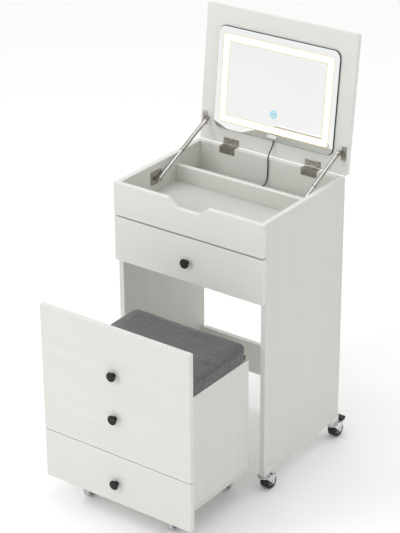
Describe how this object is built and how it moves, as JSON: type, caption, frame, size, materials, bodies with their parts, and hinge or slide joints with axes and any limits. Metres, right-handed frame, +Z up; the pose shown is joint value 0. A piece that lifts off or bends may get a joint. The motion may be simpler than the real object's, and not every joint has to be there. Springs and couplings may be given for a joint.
{
  "type": "vanity table with mirror",
  "caption": "Compact flip-top vanity desk on casters, with a lit mirror inside its strut-held lid, a tray, a drawer, and a rolling storage stool with a padded seat that docks underneath.",
  "frame": {"origin": "on the floor, under the middle of the box around the whole piece as it stands with the lid open and the stool pulled out", "axes": "+Z up, +X to the right of someone facing the mirror, +Y away from that person, from the stool towards the lid"},
  "size_m": [0.5012, 0.7736, 1.1774],
  "materials": {
    "laminate": "matt off-white laminate with a faint grain",
    "drawer_wood": "matt laminate",
    "steel": "zinc plated",
    "nickel": "satin nickel",
    "chrome": "polished",
    "strut_tube": "satin silver",
    "socket_plastic": "satin translucent white",
    "mirror_rim": "satin",
    "mirror": "polished",
    "light_band": "diffuse light strip",
    "touch_ring": "lit touch mark",
    "white_plastic": "satin",
    "knob": "matt powder coat",
    "cord": "satin jacket",
    "black_plastic": "satin",
    "cushion": "heathered weave",
    "seat_base": "covered with the cushion fabric",
    "caster_wheel": "matt",
    "stool_wheel": "matt"
  },
  "bodies": {
    "carcass": {"left_side_panel": "laminate", "right_side_panel": "laminate", "front_fascia": "laminate", "back_panel": "laminate", "tray_floor": "laminate", "tray_divider": "laminate", "rear_rail": "laminate", "drawer_runners": "steel", "caster_sockets": "socket_plastic", "hinge_lower_leaves": "nickel", "strut_wall_brackets": "nickel", "carcass_screws": "steel", "mirror_cable": "cord", "cable_coil": "cord", "usb_plug": "black_plastic"},
    "lid": {"lid_board": "laminate", "mirror_frame": "mirror_rim", "mirror_glass": "mirror", "led_band": "light_band", "touch_button": "touch_ring", "mirror_outlet": "white_plastic", "hinge_lid_leaves": "nickel", "strut_lid_brackets": "nickel", "lid_screws": "steel"},
    "left_rod": {"left_strut_rod": "chrome"},
    "left_tube": {"left_strut_tube": "strut_tube"},
    "right_rod": {"right_strut_rod": "chrome"},
    "right_tube": {"right_strut_tube": "strut_tube"},
    "drawer": {"drawer_front": "laminate", "drawer_box": "drawer_wood", "drawer_knob": "knob"},
    "stool": {"stool_front_panel": "laminate", "stool_sides": "laminate", "stool_back": "laminate", "stool_base": "laminate", "stool_shelf": "laminate", "stool_knobs": "knob", "stool_drawer_runners": "steel", "stool_caster_forks": "steel", "seat_hinge_lower": "nickel"},
    "seat": {"seat_board": "seat_base", "seat_cushion": "cushion", "seat_hinge_upper": "nickel"},
    "stool_drawer": {"stool_drawer_front": "laminate", "stool_drawer_box": "drawer_wood", "stool_drawer_knob": "knob"},
    "front_left_caster": {"front_left_fork": "steel"},
    "front_left_caster_wheel": {"front_left_wheel": "caster_wheel"},
    "front_right_caster": {"front_right_fork": "steel"},
    "front_right_caster_wheel": {"front_right_wheel": "caster_wheel"},
    "rear_left_caster": {"rear_left_fork": "steel"},
    "rear_left_caster_wheel": {"rear_left_wheel": "caster_wheel"},
    "left_pedal": {"left_brake_pedal": "black_plastic"},
    "rear_right_caster": {"rear_right_fork": "steel"},
    "rear_right_caster_wheel": {"rear_right_wheel": "caster_wheel"},
    "right_pedal": {"right_brake_pedal": "black_plastic"},
    "stool_front_left_caster_wheel": {"stool_front_left_wheel": "stool_wheel"},
    "stool_front_right_caster_wheel": {"stool_front_right_wheel": "stool_wheel"},
    "stool_rear_left_caster_wheel": {"stool_rear_left_wheel": "stool_wheel"},
    "stool_rear_right_caster_wheel": {"stool_rear_right_wheel": "stool_wheel"}
  },
  "joints": [
    {"name": "lid_hinge", "type": "hinge", "parent": "carcass", "child": "lid", "pos_m": [0, 0.32917, 0.7968], "axis": [1, 0, 0], "range_deg": [0, 96.14], "deforming": ["mirror_cable"]},
    {"name": "left_tube_pivot", "type": "hinge", "parent": "lid", "child": "left_tube", "pos_m": [-0.215, 0.32942, 0.85712], "axis": [1, 0, 0], "range_deg": [-107.91, 0]},
    {"name": "left_rod_slide", "type": "slide", "parent": "left_tube", "child": "left_rod", "axis": [0, 0.9032, 0.4293], "range_m": [0, 0.07946]},
    {"name": "right_tube_pivot", "type": "hinge", "parent": "lid", "child": "right_tube", "pos_m": [0.215, 0.32942, 0.85712], "axis": [1, 0, 0], "range_deg": [-107.91, 0]},
    {"name": "right_rod_slide", "type": "slide", "parent": "right_tube", "child": "right_rod", "axis": [0, 0.9032, 0.4293], "range_m": [0, 0.07946]},
    {"name": "drawer_slide", "type": "slide", "parent": "carcass", "child": "drawer", "axis": [0, -1, 0], "range_m": [0, 0.26]},
    {"name": "stool_slide", "type": "slide", "parent": "carcass", "child": "stool", "axis": [0, 1, 0], "range_m": [0, 0.313]},
    {"name": "seat_hinge", "type": "hinge", "parent": "stool", "child": "seat", "pos_m": [0.036, -0.08373, 0.4216], "axis": [1, 0, 0], "range_deg": [-70, 0]},
    {"name": "stool_drawer_slide", "type": "slide", "parent": "stool", "child": "stool_drawer", "axis": [0, -1, 0], "range_m": [0, 0.18]},
    {"name": "front_left_swivel", "type": "hinge", "parent": "carcass", "child": "front_left_caster", "pos_m": [-0.2325, -0.02983, 0.046], "axis": [0, 0, 1], "continuous": true},
    {"name": "front_left_spin", "type": "hinge", "parent": "front_left_caster", "child": "front_left_caster_wheel", "pos_m": [-0.2325, -0.00983, 0.021], "axis": [1, 0, 0], "continuous": true},
    {"name": "front_right_swivel", "type": "hinge", "parent": "carcass", "child": "front_right_caster", "pos_m": [0.2325, -0.02983, 0.046], "axis": [0, 0, 1], "continuous": true},
    {"name": "front_right_spin", "type": "hinge", "parent": "front_right_caster", "child": "front_right_caster_wheel", "pos_m": [0.2325, -0.00983, 0.021], "axis": [1, 0, 0], "continuous": true},
    {"name": "rear_left_swivel", "type": "hinge", "parent": "carcass", "child": "rear_left_caster", "pos_m": [-0.2325, 0.30617, 0.046], "axis": [0, 0, 1], "continuous": true},
    {"name": "rear_left_spin", "type": "hinge", "parent": "rear_left_caster", "child": "rear_left_caster_wheel", "pos_m": [-0.2325, 0.32617, 0.021], "axis": [1, 0, 0], "continuous": true},
    {"name": "left_pedal_pivot", "type": "hinge", "parent": "rear_left_caster", "child": "left_pedal", "pos_m": [-0.2325, 0.33717, 0.0415], "axis": [1, 0, 0], "range_deg": [-12, 0]},
    {"name": "rear_right_swivel", "type": "hinge", "parent": "carcass", "child": "rear_right_caster", "pos_m": [0.2325, 0.30617, 0.046], "axis": [0, 0, 1], "continuous": true},
    {"name": "rear_right_spin", "type": "hinge", "parent": "rear_right_caster", "child": "rear_right_caster_wheel", "pos_m": [0.2325, 0.32617, 0.021], "axis": [1, 0, 0], "continuous": true},
    {"name": "right_pedal_pivot", "type": "hinge", "parent": "rear_right_caster", "child": "right_pedal", "pos_m": [0.2325, 0.33717, 0.0415], "axis": [1, 0, 0], "range_deg": [-12, 0]},
    {"name": "stool_front_left_spin", "type": "hinge", "parent": "stool", "child": "stool_front_left_caster_wheel", "pos_m": [-0.13, -0.32383, 0.02], "axis": [1, 0, 0], "continuous": true},
    {"name": "stool_front_right_spin", "type": "hinge", "parent": "stool", "child": "stool_front_right_caster_wheel", "pos_m": [0.148, -0.32383, 0.02], "axis": [1, 0, 0], "continuous": true},
    {"name": "stool_rear_left_spin", "type": "hinge", "parent": "stool", "child": "stool_rear_left_caster_wheel", "pos_m": [-0.13, -0.08883, 0.02], "axis": [1, 0, 0], "continuous": true},
    {"name": "stool_rear_right_spin", "type": "hinge", "parent": "stool", "child": "stool_rear_right_caster_wheel", "pos_m": [0.148, -0.08883, 0.02], "axis": [1, 0, 0], "continuous": true}
  ],
  "couplings": [
    {"joint": "left_tube_pivot", "follows": "lid_hinge", "ratio": -1.1224},
    {"joint": "left_rod_slide", "follows": "lid_hinge", "m_per_rad": 0.047349},
    {"joint": "right_tube_pivot", "follows": "lid_hinge", "ratio": -1.1224},
    {"joint": "right_rod_slide", "follows": "lid_hinge", "m_per_rad": 0.047349}
  ]
}
